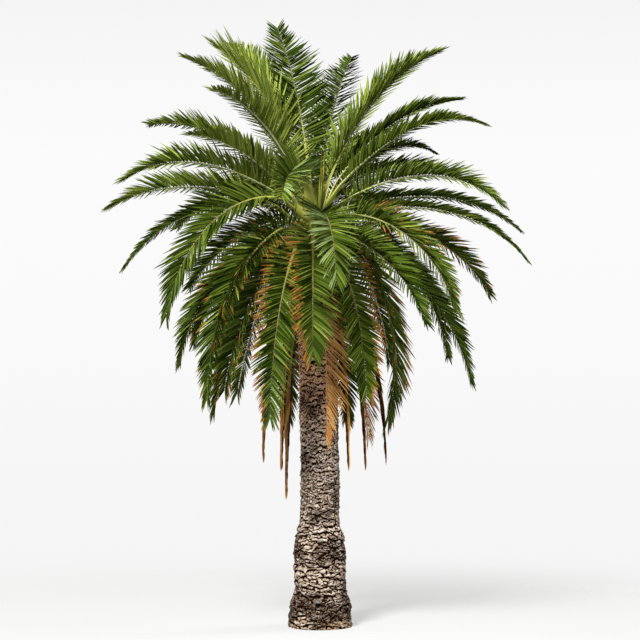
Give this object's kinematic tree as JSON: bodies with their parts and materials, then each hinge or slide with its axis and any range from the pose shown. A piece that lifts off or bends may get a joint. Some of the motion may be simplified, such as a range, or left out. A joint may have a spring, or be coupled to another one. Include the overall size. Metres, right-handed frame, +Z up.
{
  "type": "date palm tree",
  "caption": "Tall date palm: a stout scarred trunk that flares at the ground, a round crown of arching feathery fronds and a skirt of hanging dead ones.",
  "frame": {"origin": "centre of the flat cut under the trunk, at ground level", "axes": "+Z up the tree; the front is seen along +Y, with +X to its right"},
  "size_m": [6.9459, 6.2955, 9.9323],
  "materials": {
    "bark": "rough, deeply scarred bark",
    "heart": "packed leaf bases, satin green to fibrous brown",
    "green_frond": "satin leaflets on a smooth yellow-green rib",
    "dead_frond": "dry matt leaflets on a dry rib"
  },
  "bodies": {
    "root": {"trunk": "bark", "heart": "heart", "spear_frond_01": "green_frond", "spear_frond_02": "green_frond", "upper_frond_01": "green_frond", "upper_frond_02": "green_frond", "upper_frond_03": "green_frond", "upper_frond_04": "green_frond", "upper_frond_05": "green_frond", "upper_frond_06": "green_frond", "upper_frond_07": "green_frond", "upper_frond_08": "green_frond", "upper_frond_09": "green_frond", "upper_frond_10": "green_frond", "upper_frond_11": "green_frond", "middle_frond_01": "green_frond", "middle_frond_02": "green_frond", "middle_frond_03": "green_frond", "middle_frond_04": "green_frond", "middle_frond_05": "green_frond", "middle_frond_06": "green_frond", "middle_frond_07": "green_frond", "middle_frond_08": "green_frond", "middle_frond_09": "green_frond", "middle_frond_10": "green_frond", "middle_frond_11": "green_frond", "middle_frond_12": "green_frond", "middle_frond_13": "green_frond", "middle_frond_14": "green_frond", "lower_frond_01": "green_frond", "lower_frond_02": "green_frond", "lower_frond_03": "green_frond", "lower_frond_04": "green_frond", "lower_frond_05": "green_frond", "lower_frond_06": "green_frond", "lower_frond_07": "green_frond", "lower_frond_08": "green_frond", "lower_frond_09": "green_frond", "lower_frond_10": "green_frond", "lower_frond_11": "green_frond", "lower_frond_12": "green_frond", "lower_frond_13": "green_frond", "hanging_frond_01": "green_frond", "hanging_frond_02": "green_frond", "hanging_frond_03": "green_frond", "hanging_frond_04": "green_frond", "hanging_frond_05": "green_frond", "hanging_frond_06": "green_frond", "hanging_frond_07": "green_frond", "hanging_frond_08": "green_frond", "hanging_frond_09": "green_frond", "dead_frond_01": "dead_frond", "dead_frond_02": "dead_frond", "dead_frond_03": "dead_frond", "folded_frond_01": "dead_frond", "folded_frond_02": "dead_frond", "folded_frond_03": "dead_frond", "folded_frond_04": "dead_frond", "folded_frond_05": "dead_frond", "folded_frond_06": "dead_frond"}
  },
  "joints": []
}
